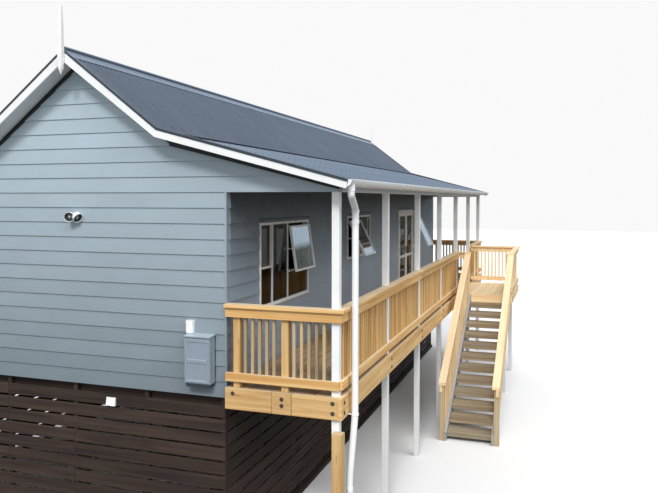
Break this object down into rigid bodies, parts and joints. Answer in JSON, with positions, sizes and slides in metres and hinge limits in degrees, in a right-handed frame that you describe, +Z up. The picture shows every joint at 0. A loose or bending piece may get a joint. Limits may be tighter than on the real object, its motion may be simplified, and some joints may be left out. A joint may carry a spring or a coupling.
{
  "type": "raised beach house",
  "caption": "Raised weatherboard house with a gabled sheet-metal roof, a side verandah on posts, a timber stair and a pair of glazed doors.",
  "frame": {"origin": "on the lowest ground, below the ridge line, in the plane of the front gable wall's face", "axes": "+Y along the ridge from the front gable to the rear, +X towards the verandah, +Z up"},
  "size_m": [8.593, 14.636, 6.945],
  "materials": {
    "cladding": "satin paint",
    "verandah_cladding": "satin paint",
    "floor_timber": "bare",
    "pile_timber": "bare, weathered",
    "dark_board": "stained",
    "roof_metal": "satin",
    "white_paint": "gloss paint",
    "dark_metal": "satin",
    "lining_paint": "satin paint",
    "white_metal": "gloss",
    "deck_timber": "bare",
    "frame_timber": "bare",
    "new_pine": "bare, treated",
    "old_timber": "weathered",
    "frame_metal": "powder coat",
    "glass": "clear",
    "handle_metal": "satin",
    "meter_metal": "satin",
    "white_plastic": "matte"
  },
  "bodies": {
    "house": {"front_wall": "cladding", "rear_wall": "cladding", "left_wall": "cladding", "verandah_wall_front": "verandah_cladding", "verandah_wall_rear": "verandah_cladding", "verandah_wall_door": "verandah_cladding", "house_floor": "floor_timber", "piles": "pile_timber", "baseboards_ends": "dark_board", "baseboards_sides": "dark_board", "roof_main": "roof_metal", "roof_low": "roof_metal", "ridge_cap": "roof_metal", "barge_boards": "white_paint", "barge_flashings": "dark_metal", "linings": "lining_paint", "verandah_beam": "white_paint", "posts": "white_paint", "gutters": "white_metal", "downpipe": "white_metal", "finials": "white_paint", "deck_boards": "deck_timber", "deck_joists": "frame_timber", "deck_beams": "new_pine", "balustrade_ends": "new_pine", "balustrade_near": "new_pine", "balustrade_far": "new_pine", "landing_deck": "new_pine", "landing_rails": "new_pine", "stair_stringers": "old_timber", "stair_treads": "old_timber", "stair_rails": "new_pine", "window_frames": "frame_metal", "window_glass": "glass", "open_sashes": "frame_metal", "sash_glass": "glass", "door_frame": "frame_metal", "meter_box": "meter_metal", "wall_fittings": "white_plastic"},
    "leaf_near": {"door_leaf_near": "frame_metal", "door_glass_near": "glass", "door_handles_near": "handle_metal"},
    "leaf_far": {"door_leaf_far": "frame_metal", "door_glass_far": "glass", "door_handles_far": "handle_metal"}
  },
  "joints": [
    {"name": "leaf_near_hinge", "type": "hinge", "parent": "house", "child": "leaf_near", "pos_m": [2.11, 9.198, 0], "axis": [0, 0, -1], "range_deg": [0, 95]},
    {"name": "leaf_far_hinge", "type": "hinge", "parent": "house", "child": "leaf_far", "pos_m": [2.11, 10.802, 0], "axis": [0, 0, 1], "range_deg": [0, 95]}
  ]
}
